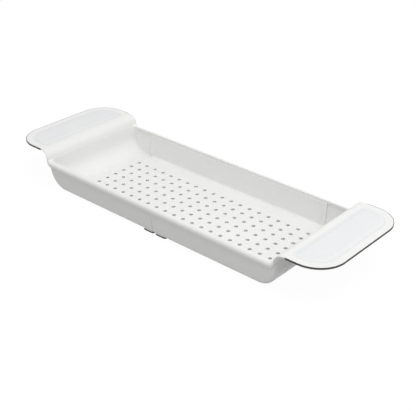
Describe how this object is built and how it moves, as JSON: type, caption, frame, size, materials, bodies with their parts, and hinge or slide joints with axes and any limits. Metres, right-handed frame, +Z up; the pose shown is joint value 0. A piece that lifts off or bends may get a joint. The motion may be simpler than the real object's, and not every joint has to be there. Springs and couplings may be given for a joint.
{
  "type": "bath caddy",
  "caption": "Extending bath caddy: a perforated centre tray held in sliding end shells with raised wings that rest on a bathtub's rim.",
  "frame": {"origin": "middle of the closed bath caddy's box, on the plane under the feet", "axes": "+X along the length, towards the right wing; +Y towards the back; +Z up"},
  "size_m": [0.6312, 0.2068, 0.0688],
  "materials": {
    "white_plastic": "satin to gloss moulded white plastic",
    "soft_grip": "matt light grey soft plastic",
    "dark_rubber": "matt dark grey rubber"
  },
  "bodies": {
    "tray": {"centre_tray": "white_plastic"},
    "right_end": {"end_shell_right": "white_plastic", "grip_inlay_right": "soft_grip", "wing_pad_right": "dark_rubber", "foot_right_front": "dark_rubber", "foot_right_back": "dark_rubber"},
    "left_end": {"end_shell_left": "white_plastic", "grip_inlay_left": "soft_grip", "wing_pad_left": "dark_rubber", "foot_left_front": "dark_rubber", "foot_left_back": "dark_rubber"}
  },
  "joints": [
    {"name": "right_slide", "type": "slide", "parent": "tray", "child": "right_end", "axis": [1, 0, 0], "range_m": [0, 0.116]},
    {"name": "left_slide", "type": "slide", "parent": "tray", "child": "left_end", "axis": [-1, 0, 0], "range_m": [0, 0.116]}
  ]
}
